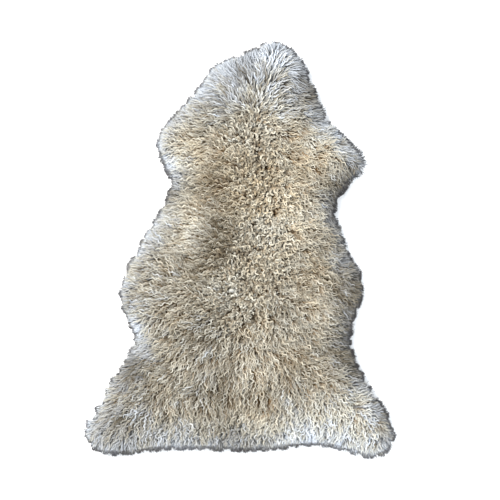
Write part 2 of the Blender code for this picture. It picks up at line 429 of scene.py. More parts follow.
def undercoat_mesh():
    """The bed's top, its side down to the floor, and an underside that makes room for the hide."""
    count = len(rim)
    pocket = hide_edge + SEAT_GAP * outward_of(hide_edge)
    loops = ((rim, 0), (pocket, 0), (pocket, HIDE_TOP + SEAT_GAP))
    verts = [(x, y, z) for (x, y), z in zip(flat_points, heights)]
    first = [0] + [len(verts) + i * count for i in range(len(loops))]
    verts += [(x, y, z) for loop, z in loops for x, y in loop]
    edges = ring(count, 0)
    flat = [Vector(p) for p in flat_points]
    faces = [tuple(f) for f in delaunay_2d_cdt(flat, edges, [], 1, MM / 100)[2]]
    for upper, lower in zip(first, first[1:]):
        for (a, b), (c, d) in zip(ring(count, upper), ring(count, lower)):
            faces.append((a, b, d, c))
    faces.append(tuple(range(first[-1], first[-1] + count)))
    mesh = bpy.data.meshes.new("undercoat")
    mesh.from_pydata(verts, [], faces)
    return mesh


bed_mesh = undercoat_mesh()
cleaner = bmesh.new()
cleaner.from_mesh(bed_mesh)
bmesh.ops.recalc_face_normals(cleaner, faces=cleaner.faces)
cleaner.to_mesh(bed_mesh)
cleaner.free()
bed_mesh.shade_smooth()
print("undercoat:", len(bed_mesh.polygons), "faces")

# %% What each point of the bed tells the staples that grow there
def add_attribute(mesh, name, kind, values, key):
    """Stores one value for each point of a mesh, with zeros past the end of values."""
    layer = mesh.attributes.new(name, kind, "POINT")
    full = np.zeros((len(mesh.vertices), values.shape[1] if values.ndim > 1 else 1), np.float32)
    full[:len(values)] = values.reshape(len(values), -1)
    layer.data.foreach_set(key, full.ravel())


def new_object(name, mesh):
    made = bpy.data.objects.new(name, mesh)
    bpy.context.scene.collection.objects.link(made)
    return made


BED_VALUES = {
    "lean": lean,
    "from_rim": distance,
    "reach": reach,
    "sleek": sleek,
    "grows": np.ones(len(flat_points)),  # so nothing grows on the underside
    "dull_and_shade": dull_and_shade,
    "tint": tint,
    "longer": longer,
}
comb_3d = np.concatenate([comb, np.zeros((len(comb), 1))], axis=1)
add_attribute(bed_mesh, "comb", "FLOAT_VECTOR", comb_3d, "vector")
for name, values in BED_VALUES.items():
    add_attribute(bed_mesh, name, "FLOAT", values, "value")
undercoat = new_object("undercoat", bed_mesh)
print("attributes:", ["comb", *BED_VALUES])

# %% [markdown]
# ## Writing node trees as sums
#
# A staple's path is a formula, and Geometry Nodes work formulas out for every point at
# once. Wired by hand that is dozens of Math nodes. The small class below lets Python do
# the wiring: a sum written with a Field adds the node that does it.

# %% A Field adds Math nodes
NUMBER_OUT = ("LENGTH", "DOT_PRODUCT", "DISTANCE")


def plug(socket, value):
    """Links a node's input to a Field, or types a plain value into it."""
    if isinstance(value, Field):
        socket.id_data.links.new(value.socket, socket)
    elif socket.type == "VECTOR" and isinstance(value, (int, float)):
        socket.default_value = (value,) * 3
    else:
        socket.default_value = value


def is_vector(value):
    return isinstance(value, tuple) or isinstance(value, Field) and value.socket.type == "VECTOR"


def calculate(operation, *values):
    """A Math node, or a Vector Math node where one of the values is a vector."""
    tree = next(v.socket.id_data for v in values if isinstance(v, Field))
    vector = any(map(is_vector, values))
    node = tree.nodes.new("ShaderNodeVectorMath" if vector else "ShaderNodeMath")
    node.operation = operation
    for socket, value in zip(node.inputs, values):
        plug(socket, value)
    return Field(node.outputs["Vector" if vector and operation not in NUMBER_OUT else "Value"])


class Field:
    """A value that flows through a node tree, a number or a vector."""

    def __init__(self, socket):
        self.socket = socket

    def __add__(self, other):
        return calculate("ADD", self, other)

    def __sub__(self, other):
        return calculate("SUBTRACT", self, other)

    def __rsub__(self, other):
        return calculate("SUBTRACT", other, self)

    def __mul__(self, other):
        return calculate("MULTIPLY", self, other)

    def __truediv__(self, other):
        return calculate("DIVIDE", self, other)

    def __rtruediv__(self, other):
        return calculate("DIVIDE", other, self)

    def __pow__(self, other):
        return calculate("POWER", self, other)

    __radd__ = __add__
    __rmul__ = __mul__


# %% Other nodes, each in one line
def put(tree, kind, values=(), named=None, **settings):
    """Adds a node with its settings, and fills its inputs in order or by name."""
    node = tree.nodes.new(kind)
    for key, value in settings.items():
        setattr(node, key, value)
    for socket, value in zip(node.inputs, values):
        plug(socket, value)
    for name, value in (named or {}).items():
        plug(next(s for s in node.inputs if s.name == name and s.enabled), value)
    return node


def out(node, name=0):
    """One output of a node as a Field: the first that is in use, or the one of that name."""
    sockets = [s for s in node.outputs if s.enabled and name in (0, s.name)]
    return Field(sockets[0])


def attribute(tree, name, kind="FLOAT"):
    node = put(tree, "GeometryNodeInputNamedAttribute", named={"Name": name}, data_type=kind)
    return out(node, "Attribute")


def store(tree, geometry, name, value, kind="FLOAT", domain="POINT"):
    named = {"Geometry": geometry, "Name": name, "Value": value}
    settings = {"data_type": kind, "domain": domain}
    return out(put(tree, "GeometryNodeStoreNamedAttribute", named=named, **settings))


def xyz(tree, x, y, z):
    return out(put(tree, "ShaderNodeCombineXYZ", (x, y, z)))


def blend(start, end, share):
    """start where share is 0, end where it is 1."""
    return start + (end - start) * share


def rise(tree, value, low, high):
    """0 below low, 1 above high, with a smooth step between them."""
    named = {"Value": value, "From Min": low, "From Max": high}
    return out(put(tree, "ShaderNodeMapRange", named=named, interpolation_type="SMOOTHSTEP"))


def new_tree(name, kind, inputs, outputs):
    """An empty node group with named inputs and outputs: (name, socket type, default)."""
    tree = bpy.data.node_groups.new(name, kind)
    for title, socket_type, default in inputs:
        socket = tree.interface.new_socket(title, in_out="INPUT", socket_type=socket_type)
        if default is not None:
            socket.default_value = default
    for title, socket_type in outputs:
        tree.interface.new_socket(title, in_out="OUTPUT", socket_type=socket_type)
    return tree, tree.nodes.new("NodeGroupInput"), tree.nodes.new("NodeGroupOutput")


# %% [markdown]
# ## A staple of wool
#
# Fleece doesn't grow as single hairs that one can see. The fibres hold together in
# staples a millimetre or two thick, and each staple is crimped like a spring. A particle
# system would give hairs with no volume, so here every staple is a thin strip along a
# path, bent to a V so that it catches the light on one side. The path bends from the way
# it starts to the way it ends, and the crimp winds round it. The inputs below are what
# makes one sort of staple differ from another.

# %% Inputs of the staple tree
FLOAT, INTEGER, MATERIAL = "NodeSocketFloat", "NodeSocketInt", "NodeSocketMaterial"
GEOMETRY = "NodeSocketGeometry"
STAPLE_INPUTS = (
    ("Bed", GEOMETRY, None),
    ("From", FLOAT, -1.0),  # how far along the rug this piece starts
    ("To", FLOAT, 1.0),
    ("Inner Share", FLOAT, 1.0),  # how many of the possible roots grow inside
    ("Rim Share", FLOAT, 0.0),
    ("Spacing", FLOAT, 5.0 * MM),  # the least distance between two roots
    ("Steps", INTEGER, 12),
    ("Length", FLOAT, 38 * MM),
    ("Thickness", FLOAT, 1.95 * MM),
    ("Profile Points", INTEGER, 3),  # 3 bend a strip to a V, 2 leave it flat
    ("Roundness", FLOAT, 0.8),  # how deep the V is
    ("Twist", FLOAT, 0.2),
    ("Crimp Pitch", FLOAT, 14.5 * MM),
    ("Crimp Width", FLOAT, 2.2 * MM),
    ("Tuft Pitch", FLOAT, 30 * MM),
    ("Tuft Pull", FLOAT, 0.45),  # how far a tip is drawn to the middle of its tuft
    ("Tip Pull", FLOAT, 0.55),  # how far it is drawn to the few tips next to it
    ("Hem", FLOAT, 0.0),  # 1 gathers the tufts at the rim, not at the roots
    ("Overshoot", FLOAT, 3 * MM),  # how far past the rim the tips reach
    ("Seed", INTEGER, 3),
    ("Material", MATERIAL, None),
)
print("inputs of a staple:", len(STAPLE_INPUTS))

# %% What a staple knows of its place
NEAR_RIM = 15 * MM, 65 * MM  # the rim's habits are full at the first and gone at the second


class Staple:
    """What each staple knows of the place where it grows, as Fields in one tree."""

    def __init__(self, tree, asked):
        self.tree, self.asked = tree, asked
        self.number = attribute(tree, "staple", "INT")
        self.root = attribute(tree, "root", "FLOAT_VECTOR")
        self.flat = calculate("NORMALIZE", attribute(tree, "comb", "FLOAT_VECTOR"))
        self.lean = attribute(tree, "lean")
        self.reach = attribute(tree, "reach")
        self.near_rim = 1 - rise(tree, attribute(tree, "from_rim"), *NEAR_RIM)

    def input(self, name):
        return Field(self.asked.outputs[name])

    def chance(self, low, high, number):
        """A random value for each staple. Every use of it has a number of its own."""
        named = {"Min": low, "Max": high, "ID": self.number, "Seed": self.input("Seed") + number}
        return out(put(self.tree, "FunctionNodeRandomValue", named=named, data_type="FLOAT"))

    def cloud(self, scale, detail):
        """Soft patches over the bed, from 0 to 1, so many to a metre."""
        named = {"Vector": self.root, "Scale": scale, "Detail": detail}
        return out(put(self.tree, "ShaderNodeTexNoise", named=named))

    def tuft(self, anchor, scale):
        """The middle of the tuft that a staple belongs to, and how far off that is."""
        settings = {"voronoi_dimensions": "2D", "feature": "F1"}
        named = {"Vector": anchor, "Scale": scale}
        node = put(self.tree, "ShaderNodeTexVoronoi", named=named, **settings)
        return out(node, "Position"), out(node, "Distance")


# %% Roots
FRINGE_BAND = 12 * MM, 34 * MM  # between these the rim's share of roots gives way to the inner
LYING_SHARE = 0.88  # wool that lies flat covers more, so it needs fewer roots
DENSEST = 1e6  # roots to a square metre, before the spacing thins them out


def roots_on(tree, asked):
    """Points on the bed, evenly spread but not in rows, that know their number and place."""
    inwards = rise(tree, attribute(tree, "from_rim"), *FRINGE_BAND)
    share = blend(Field(asked.outputs["Rim Share"]), Field(asked.outputs["Inner Share"]), inwards)
    share = share * attribute(tree, "grows") * blend(1.0, LYING_SHARE, attribute(tree, "lean"))
    named = {
        "Mesh": Field(asked.outputs["Bed"]),
        "Distance Min": Field(asked.outputs["Spacing"]),
        "Density Max": DENSEST,
        "Density Factor": share,
        "Seed": Field(asked.outputs["Seed"]),
    }
    points = out(put(tree, "GeometryNodeDistributePointsOnFaces", named=named,
                     distribute_method="POISSON"))
    place = out(put(tree, "GeometryNodeInputPosition"))
    points = store(tree, points, "root", place, "FLOAT_VECTOR")
    return store(tree, points, "staple", out(put(tree, "GeometryNodeInputIndex")), "INT")


# %% The way a staple starts and ends
UP, DOWN = (0.0, 0.0, 1.0), (0.0, 0.0, -1.0)
START_ANGLE = 0.94, 0.52  # radians above the floor, where the wool stands and where it lies
END_ANGLE = 0.15, 0.0
RIM_START_DROP, RIM_END_DROP = 0.15, 0.5  # how much lower both point at the rim
STRAY = 0.35, 2.5  # how far a staple strays from the comb, where it lies and where it stands
SWIRL = 2.8, 7.0  # the same for whole patches of staples
SWIRLS = 22.0  # patches to a metre


def headings(staple):
    """A staple's way seen from above, and its full directions at the root and at the tip."""
    loose = (1 - staple.lean) ** 3
    swirl = staple.cloud(SWIRLS, 1.0) - 0.5
    strayed = staple.chance(-1.0, 1.0, 1) * blend(*STRAY, loose) + swirl * blend(*SWIRL, loose)
    named = {"Vector": staple.flat, "Angle": strayed}
    outward = out(put(staple.tree, "ShaderNodeVectorRotate", named=named, rotation_type="Z_AXIS"))

    def raised(angle):
        return outward * calculate("COSINE", angle) + calculate("SINE", angle) * UP

    start = blend(*START_ANGLE, staple.lean) - staple.near_rim * RIM_START_DROP
    end = blend(*END_ANGLE, staple.lean) - staple.near_rim * RIM_END_DROP
    start, end = start + staple.chance(-0.15, 0.15, 2), end + staple.chance(-0.25, 0.2, 3)
    return outward, raised(start), raised(end)


# %% How long a staple is
LENGTH_SHARE = 0.8, 1.0  # of the length asked for, where the wool stands and where it lies
TUFT_LENGTH, LESS_OFF_MIDDLE = 1.15, 0.35  # staples are longest in the middle of their tuft
PAST_RIM, LESS_PAST = 1.7, 1.8  # how the tuft shares out the overshoot
BENT = 1.15  # how much longer a bent path is than the straight way to the rim


def length_of(staple, off_middle):
    """The length of each staple. None goes much past the rim."""
    past = staple.input("Overshoot") * attribute(staple.tree, "longer")
    past = past * (PAST_RIM - off_middle * LESS_PAST)
    length = staple.input("Length") * staple.chance(0.75, 1.15, 4)
    length = length * blend(*LENGTH_SHARE, staple.lean)
    length = length * (TUFT_LENGTH - off_middle * LESS_OFF_MIDDLE)
    longest = (staple.reach + past) * BENT
    return calculate("MINIMUM", length, longest * staple.chance(0.88, 1.0, 8))


# %% [markdown]
# ## Crimp and tufts
#
# The crimp is a small circle that the path winds round, wide at the tip and narrow at the
# root. It is weaker at the rim and on the head, where the wool is straighter. Neighbours
# lean together in tufts, and in each tuft a few tips cling to one another. A Voronoi
# texture gives both: it knows the nearest of many scattered middles, and each staple is
# drawn towards its own.

# %% The crimp
CRIMP_SHARE = 1.45, 1.0  # of its width, where the wool stands and where it lies
CRIMP_LIFT = 0.9, 0.5  # its height as a share of its width
CRIMP_GROWS = -0.2, 0.7  # the shares along a staple between which it widens
RIM_CRIMP, SLEEK_CRIMP = 0.4, 0.4  # what is left of it at the rim, and on the head


def crimp_at(staple, t, winding, outward, heading):
    """How far the crimp takes the point at t off its path."""
    aside = calculate("CROSS_PRODUCT", outward, DOWN)
    lift = calculate("CROSS_PRODUCT", aside, heading)
    width = staple.input("Crimp Width") * rise(staple.tree, t, *CRIMP_GROWS)
    width = width * blend(1.0, RIM_CRIMP, staple.near_rim) * staple.chance(0.6, 1.3, 6)
    width = width * blend(*CRIMP_SHARE, staple.lean)
    width = width * blend(1.0, SLEEK_CRIMP, attribute(staple.tree, "sleek"))
    crimp = aside * calculate("SINE", winding) * width
    return crimp + lift * calculate("COSINE", winding) * width * blend(*CRIMP_LIFT, staple.lean)


# %% Tufts, and the thickness of a staple
TUFT_SHARE = 0.5, 1.0  # of the pull asked for, where the wool stands and where it lies
CLUSTERS = 3  # how many groups of tips a tuft is wide
THICK_SHARE = 1.6, 1.0  # of its thickness, likewise
RIM_THICK = 0.6  # of its thickness, at the rim
TAPER = 0.45, 0.8  # what a staple loses of its thickness up to the tip
HEM_TAPER = 0.35  # the same for the fringe


def gathered_to(staple, t, anchor, middle):
    """How far the point at t is drawn to its tuft. Flat wool is drawn sideways only."""
    cluster, _ = staple.tuft(anchor, CLUSTERS / staple.input("Tuft Pitch"))
    tufts = (middle - anchor) * staple.input("Tuft Pull") * t * t
    tufts = tufts * blend(*TUFT_SHARE, staple.lean)
    tips = (cluster - anchor) * staple.input("Tip Pull") * t * t
    gathered = tufts + tips
    along = staple.flat * calculate("DOT_PRODUCT", gathered, staple.flat)
    return gathered - along * staple.lean * (1 - staple.input("Hem"))


def thickness_at(staple, t):
    taper = blend(blend(*TAPER, staple.lean), HEM_TAPER, staple.input("Hem"))
    thickness = staple.input("Thickness") * staple.chance(0.7, 1.25, 7)
    thickness = thickness * blend(1.0, RIM_THICK, staple.near_rim)
    return thickness * blend(*THICK_SHARE, staple.lean) * (1 - t ** 3 * taper)


# %% The whole path
RIPPLES, RIPPLE = 30.0, 16.0  # so that neighbours' crimps are nearly in step, but drift
TIP_SHADE_BAND = -9 * MM, 0.0  # where the tips get painted shade, as a distance past the rim
TIP_SHADE_END = 0.5, 0.85  # and only this far along a staple
FLOOR_GAP = 0.4 * MM


def staple_path(staple, t):
    """Where the point a share t along each staple goes. Also how thick the staple is there,
    how much painted shade its tip has, and how much it is twisted."""
    outward, start, end = headings(staple)
    anchor = staple.root + staple.flat * staple.reach * staple.input("Hem")
    anchor = anchor * (1.0, 1.0, 0.0)
    middle, off_middle = staple.tuft(anchor, 1 / staple.input("Tuft Pitch"))
    length = length_of(staple, off_middle)
    path = length * (start * (t - t * t * 0.5) + end * (t * t * 0.5))
    winding = length * t * math.tau / staple.input("Crimp Pitch")
    winding = winding + staple.cloud(RIPPLES, 0.0) * RIPPLE + staple.chance(-0.9, 0.9, 5)
    crimp = crimp_at(staple, t, winding, outward, blend(start, end, t))
    place = staple.root + path + crimp + gathered_to(staple, t, anchor, middle)
    thickness = thickness_at(staple, t)
    beyond = calculate("DOT_PRODUCT", path, staple.flat) - staple.reach
    tip_shade = rise(staple.tree, beyond, *TIP_SHADE_BAND) * rise(staple.tree, t, *TIP_SHADE_END)
    tip_shade = tip_shade * staple.chance(0.7, 1.0, 10)
    twist = calculate("SINE", winding * 2) + staple.chance(-1.0, 1.0, 9)
    parts = put(staple.tree, "ShaderNodeSeparateXYZ", (place,))
    height = calculate("MAXIMUM", out(parts, "Z"), thickness + FLOOR_GAP)
    place = xyz(staple.tree, out(parts, "X"), out(parts, "Y"), height)
    return place, thickness, tip_shade, twist * staple.input("Twist")


# %% [markdown]
# ## Where a staple finds its colour
#
# Each staple has one tint and one dullness, which carries painted shade, and changes from
# root to tip. A colour for every corner of the mesh could be stored, but one UV map can
# carry all of it. Think of a table: columns are tints from white to straw, rows are steps
# of dullness and painted shade. A staple lies in one cell of the table. Across the cell runs
# its width, and up the cell its length, with the last part kept for tips in painted shade.

# %% A staple's place in the table
TINT_COLUMNS = 12
DULL_ROWS = 8
ALONG_UNSHADED = 0.8  # the share of each cell that a staple uses below its painted tip shade. The rest is the tip in painted shade
MARGIN = 0.04  # kept free at the borders of a cell
PATCHES, FLECKS, PATCHINESS = 9.0, 45.0, 0.5  # to a metre, and how far they change the tint
TINT_CHANCE = 0.11
DULL_CHANCE = 0.08, 0.34  # at the rim, and inside
DULL_CHANCE_BAND = 30 * MM, 80 * MM
TIP_SHADE_JUMP = 8  # even a little painted tip shade takes a point to the end of the unshaded part


def wool_uv(staple, t):
    """Where each corner of a staple lies in the table."""
    tree = staple.tree

    def cell(share, count):
        whole = calculate("ROUND", share * (count - 1))
        return calculate("MINIMUM", calculate("MAXIMUM", whole, 0.0), count - 1.0)

    tint = attribute(tree, "tint") + staple.chance(-TINT_CHANCE, TINT_CHANCE, 11)
    tint = tint + (staple.cloud(PATCHES, 1.0) - 0.5) * PATCHINESS
    tint = tint + (staple.cloud(FLECKS, 0.0) - 0.5) * PATCHINESS
    inner = rise(tree, attribute(tree, "from_rim"), *DULL_CHANCE_BAND)
    dull_and_shade = attribute(tree, "dull_and_shade") + staple.chance(-1.0, 1.0, 12) * blend(*DULL_CHANCE, inner)
    across = MARGIN + attribute(tree, "round") * (1 - 2 * MARGIN)
    tip_shade = attribute(tree, "tip_shade")
    unshaded = calculate("MAXIMUM", t, calculate("MINIMUM", tip_shade * TIP_SHADE_JUMP, 1.0))
    along = MARGIN + unshaded * (ALONG_UNSHADED - MARGIN) + tip_shade * (1 - MARGIN - ALONG_UNSHADED)
    u = (cell(tint, TINT_COLUMNS) + across) / TINT_COLUMNS
    v = (cell(dull_and_shade, DULL_ROWS) + along) / DULL_ROWS
    return xyz(tree, u, v, 0.0)


# %% [markdown]
# ## The staple tree
#
# The tree puts a straight line of points on every root, bends all lines at once by the
# sums above, and sweeps a small arc along them. Points of a curve have a radius, but the
# sweep doesn't read it, so the thickness goes in as the sweep's own Scale.

# %% The strip, and the whole tree
def strip(tree, asked, curves):
    """A thin strip along each curve, flat or bent to a V."""
    curves = out(put(tree, "GeometryNodeSetCurveNormal", named={"Curve": curves}, mode="Z_UP"))
    named = {"Curve": curves, "Tilt": attribute(tree, "twist")}
    curves = out(put(tree, "GeometryNodeSetCurveTilt", named=named))
    corners = Field(asked.outputs["Profile Points"])
    named = {"Resolution": corners, "Radius": 1.0, "Start Angle": 0.0, "Sweep Angle": math.pi}
    profile = out(put(tree, "GeometryNodeCurveArc", named=named, mode="RADIUS"))
    index = out(put(tree, "GeometryNodeInputIndex"))
    profile = store(tree, profile, "round", index / (corners - 1))
    deep = xyz(tree, 1.0, Field(asked.outputs["Roundness"]), 1.0)
    named = {"Geometry": profile, "Position": out(put(tree, "GeometryNodeInputPosition")) * deep}
    profile = out(put(tree, "GeometryNodeSetPosition", named=named))
    named = {"Curve": curves, "Profile Curve": profile, "Scale": attribute(tree, "thick")}
    return out(put(tree, "GeometryNodeCurveToMesh", named=named))


def lines_on(tree, asked):
    """A straight line of points on each root of this piece, with t from 0 to 1 along it."""
    steps = Field(asked.outputs["Steps"])
    line = out(put(tree, "GeometryNodeMeshLine", named={"Count": steps + 1}))
    line = store(tree, line, "t", out(put(tree, "GeometryNodeInputIndex")) / steps)
    points = roots_on(tree, asked)
    y = out(put(tree, "ShaderNodeSeparateXYZ", (attribute(tree, "root", "FLOAT_VECTOR"),)), "Y")
    after = calculate("GREATER_THAN", y, Field(asked.outputs["From"]))
    before = calculate("LESS_THAN", y, Field(asked.outputs["To"]))
    named = {"Points": points, "Instance": line, "Selection": after * before}
    lines = out(put(tree, "GeometryNodeInstanceOnPoints", named=named))
    return out(put(tree, "GeometryNodeRealizeInstances", (lines,)))


def staple_tree():
    """Roots, then a line of points on each root, then the line's path, then a strip on it."""
    outputs = (("Wool", GEOMETRY),)
    tree, asked, answer = new_tree("staples", "GeometryNodeTree", STAPLE_INPUTS, outputs)
    lines = lines_on(tree, asked)
    t = attribute(tree, "t")
    staple = Staple(tree, asked)
    place, thickness, tip_shade, twist = staple_path(staple, t)
    lines = store(tree, lines, "tip_shade", tip_shade)
    lines = store(tree, lines, "twist", twist)
    lines = out(put(tree, "GeometryNodeSetPosition", named={"Geometry": lines, "Position": place}))
    lines = store(tree, lines, "thick", thickness)
    wool = strip(tree, asked, out(put(tree, "GeometryNodeMeshToCurve", (lines,))))
    wool = store(tree, wool, "OFBake", wool_uv(staple, t), "FLOAT2", "CORNER")
    wool = out(put(tree, "GeometryNodeSetShadeSmooth", named={"Geometry": wool}))
    wool = out(put(tree, "GeometryNodeRealizeInstances", (wool,)))
    named = {"Geometry": wool, "Material": Field(asked.outputs["Material"])}
    plug(answer.inputs["Wool"], out(put(tree, "GeometryNodeSetMaterial", named=named)))
    return tree


staples = staple_tree()
print("staple tree:", len(staples.nodes), "nodes")

# %% [markdown]
# ## The colours of wool
#
# A staple is darker and warmer at its root than at its tip: painted shade in the gaps
# between staples. The whitest wool is cool blue with painted skylight. Two colour ramps
# say so, one for roots and one for tips, each from white wool to straw. A picture of wool
# could be wrapped round the rug instead, but all its light would be painted on.

# %% Tints
def linear(red, green, blue):
    """A screen colour, 0 to 255, as the linear colour that a shader works in."""
    return tuple((c / 255) ** 2.2 for c in (red, green, blue)) + (1.0,)


# The blue of the whitest tint, at 0.0, is painted skylight.
TIP_TINTS = (
    (0.0, linear(198, 205, 215)),
    (0.3, linear(196, 194, 183)),
    (0.6, linear(194, 186, 167)),
    (1.0, linear(187, 169, 136)),
)
# Roots are darker than tips: painted shade in the gaps between staples.
ROOT_TINTS = (
    (0.0, linear(160, 165, 171)),
    (0.3, linear(122, 108, 86)),
    (0.6, linear(118, 90, 54)),
    (1.0, linear(106, 74, 36)),
)
TIP_SHADE_GREY = linear(50, 48, 50)  # the dark grey of the painted shade on the outermost tips
DULLEST_AND_SHADED = (0.20, 0.17, 0.13, 1.0)  # what the dullest, most shaded wool keeps of its red, green and blue
print("tints:", len(TIP_TINTS), "for tips,", len(ROOT_TINTS), "for roots")

# %% Nodes that the materials share
SHEEN = 0.25  # wool and suede hardly shine


def colour_ramp(tree, value, tints):
    node = put(tree, "ShaderNodeValToRGB", (value,))
    ramp = node.color_ramp
    for i, (place, colour) in enumerate(tints):
        element = ramp.elements[i] if i < 2 else ramp.elements.new(place)
        element.position, element.color = place, colour
    return out(node, "Color")


def mix_colour(tree, kind, share, first, second):
    named = {"Factor": share, "A": first, "B": second}
    return out(put(tree, "ShaderNodeMix", named=named, data_type="RGBA", blend_type=kind))


def shaded(tree, base, shade):
    return mix_colour(tree, "MULTIPLY", 1.0, base, xyz(tree, shade, shade, shade))


def new_material(name, roughness):
    made = bpy.data.materials.new(name)
    made.use_nodes = True
    shader = made.node_tree.nodes["Principled BSDF"]
    shader.inputs["Roughness"].default_value = roughness
    shader.inputs["Specular IOR Level"].default_value = SHEEN
    return made, made.node_tree, shader


def fibre_group():
    """Fine fibres that run one way: a value from 0 to 1."""
    inputs = (("Vector", "NodeSocketVector", None), ("Across", FLOAT, 90.0), ("Along", FLOAT, 60.0))
    outputs = (("Fibre", FLOAT),)
    tree, asked, answer = new_tree("fibre", "ShaderNodeTree", inputs, outputs)
    stretch = xyz(tree, Field(asked.outputs["Across"]), Field(asked.outputs["Along"]), 1.0)
    place = Field(asked.outputs["Vector"]) * stretch
    named = {"Vector": place, "Scale": 1.0, "Detail": 2.0}
    plug(answer.inputs["Fibre"], out(put(tree, "ShaderNodeTexNoise", named=named)))
    return tree


fibres = fibre_group()
print("fibre group:", len(fibres.nodes), "nodes")

# %% [markdown]
# ## The finish of a staple
#
# A staple is a bundle of fine fibres with a soft sheen and no gloss, and gets a painted
# highlight along its middle and painted shade at its sides. Hair shaders exist, but they
# need curves, and these staples are meshes, so a rough plain surface with a fine bump along
# the fibres does the job.

# %% Wool
MIDDLE_SHADE, EDGE_SHADE = 1.1, 0.6  # a painted highlight along a staple's middle, and how much painted shade takes off at its sides
MOST_TIP_SHADE = 0.95
FIBRE_SHADES = 0.78, 1.12
ROOT_TO_TIP = 0.1, 0.75  # where the root's colour ends and the tip's begins


def staple_material():
    made, tree, shader = new_material("wool staple", 0.75)
    uv = out(put(tree, "ShaderNodeUVMap", uv_map="OFBake"))
    parts = put(tree, "ShaderNodeSeparateXYZ", (uv,))
    columns, rows = out(parts, "X") * TINT_COLUMNS, out(parts, "Y") * DULL_ROWS
    across, along = calculate("FRACT", columns), calculate("FRACT", rows)
    tint = (columns - across) / (TINT_COLUMNS - 1)
    dull_and_shade = (rows - along) / (DULL_ROWS - 1)
    group = put(tree, "ShaderNodeGroup", node_tree=fibres)
    plug(group.inputs["Vector"], uv)
    fibre = out(group, "Fibre")
    tip, root = colour_ramp(tree, tint, TIP_TINTS), colour_ramp(tree, tint, ROOT_TINTS)
    base = mix_colour(tree, "MIX", rise(tree, along, *ROOT_TO_TIP), root, tip)
    off_middle = across * 2 - 1
    # Painted highlight along the middle and painted shade at the sides, so the strip looks round.
    round_shading = MIDDLE_SHADE - off_middle * off_middle * EDGE_SHADE
    base = shaded(tree, base, blend(*FIBRE_SHADES, fibre) * round_shading)
    base = mix_colour(tree, "MULTIPLY", dull_and_shade, base, DULLEST_AND_SHADED)
    # Painted shade on the tips past the rim, towards a dark grey.
    tip_shade = rise(tree, along, ALONG_UNSHADED, 1 - MARGIN)
    plug(shader.inputs["Base Color"], mix_colour(tree, "MIX", tip_shade * MOST_TIP_SHADE, base, TIP_SHADE_GREY))
    bump = put(tree, "ShaderNodeBump", named={"Height": fibre, "Strength": 0.5, "Distance": 0.3 * MM})
    plug(shader.inputs["Normal"], out(bump))
    return made


wool = staple_material()
print(wool.name, len(wool.node_tree.nodes), "nodes")

# %% [markdown]
# ## The undercoat's finish
#
# It shows only in the gaps, as the dark warm depth of the fleece. It could be plain brown,
# but it takes the same tints, dullness and painted shade as the staples above it, so that
# a pale patch of wool is pale all the way down. By the floor at the rim it has painted shade.

# %% Undercoat
UNDERCOAT_FIBRES = 400.0  # to a metre
UNDERCOAT_SHADES = 0.6, 1.1
FOOT_SHADE, FOOT_BAND = 0.4, 8 * MM  # painted shade where the bed meets the floor at the rim, and how far in it reaches
DEEP_BAND = 15 * MM, 60 * MM  # between these a tip's colour gives way to a root's


def undercoat_material():
    made, tree, shader = new_material("undercoat", 0.95)

    def here(name):
        return out(put(tree, "ShaderNodeAttribute", attribute_name=name), "Fac")

    inner = rise(tree, here("from_rim"), *DEEP_BAND)
    group = put(tree, "ShaderNodeGroup", node_tree=fibres)
    plug(group.inputs["Vector"], out(put(tree, "ShaderNodeTexCoord"), "Object"))
    plug(group.inputs["Across"], UNDERCOAT_FIBRES)
    plug(group.inputs["Along"], UNDERCOAT_FIBRES)
    fibre = out(group, "Fibre")
    tip, root = (colour_ramp(tree, here("tint"), tints) for tints in (TIP_TINTS, ROOT_TINTS))
    base = mix_colour(tree, "MIX", inner, tip, root)
    # Painted shade at the rim, where the bed comes down to the floor.
    foot = blend(FOOT_SHADE, 1.0, rise(tree, here("from_rim"), 0.0, FOOT_BAND))
    base = shaded(tree, base, blend(*UNDERCOAT_SHADES, fibre) * foot)
    plug(shader.inputs["Base Color"], mix_colour(tree, "MULTIPLY", here("dull_and_shade"), base, DULLEST_AND_SHADED))
    bump = put(tree, "ShaderNodeBump", named={"Height": fibre, "Distance": 2 * MM})
    plug(shader.inputs["Normal"], out(bump))
    return made


undercoat.data.materials.append(undercoat_material())
print("undercoat:", [m.name for m in undercoat.data.materials])

# %% [markdown]
# ## The flesh side
#
# The underside of the hide is buffed like suede: matt, softly clouded, with a fine nap.
# Two noises do it, a large one for the clouds and a fine one for the nap.

# %% Suede
CLOUDS, NAP = 14.0, 900.0  # to a metre
SUEDE_DARK, SUEDE_PALE = linear(196, 176, 146), linear(224, 208, 182)
NAP_SHADES = 0.85, 1.1


def suede_material():
    made, tree, shader = new_material("suede", 0.9)
    place = out(put(tree, "ShaderNodeTexCoord"), "Object")
    named = {"Vector": place, "Scale": CLOUDS, "Detail": 4.0}
    cloud = out(put(tree, "ShaderNodeTexNoise", named=named))
    named = {"Vector": place, "Scale": NAP, "Detail": 3.0}
    nap = out(put(tree, "ShaderNodeTexNoise", named=named))
    base = mix_colour(tree, "MIX", cloud, SUEDE_DARK, SUEDE_PALE)
    plug(shader.inputs["Base Color"], shaded(tree, base, blend(*NAP_SHADES, nap)))
    bump = put(tree, "ShaderNodeBump", named={"Height": nap, "Strength": 0.6, "Distance": 0.4 * MM})
    plug(shader.inputs["Normal"], out(bump))
    return made


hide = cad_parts["hide"]
hide.data.materials.clear()
hide.data.materials.append(suede_material())
print("hide:", [m.name for m in hide.data.materials])

# %% [markdown]
# ## Growing the wool
#
# Real fleece has more than one sort of fibre, and so has this one. Full staples carry the
# colour and the curl. Finer wisps grow among them and break up their outlines. At the rim
# a dense fringe of short wool hides the undercoat and makes the rug's outline. One mesh
# for each sort would be heavy to handle, so each is grown in parts, one behind the other.

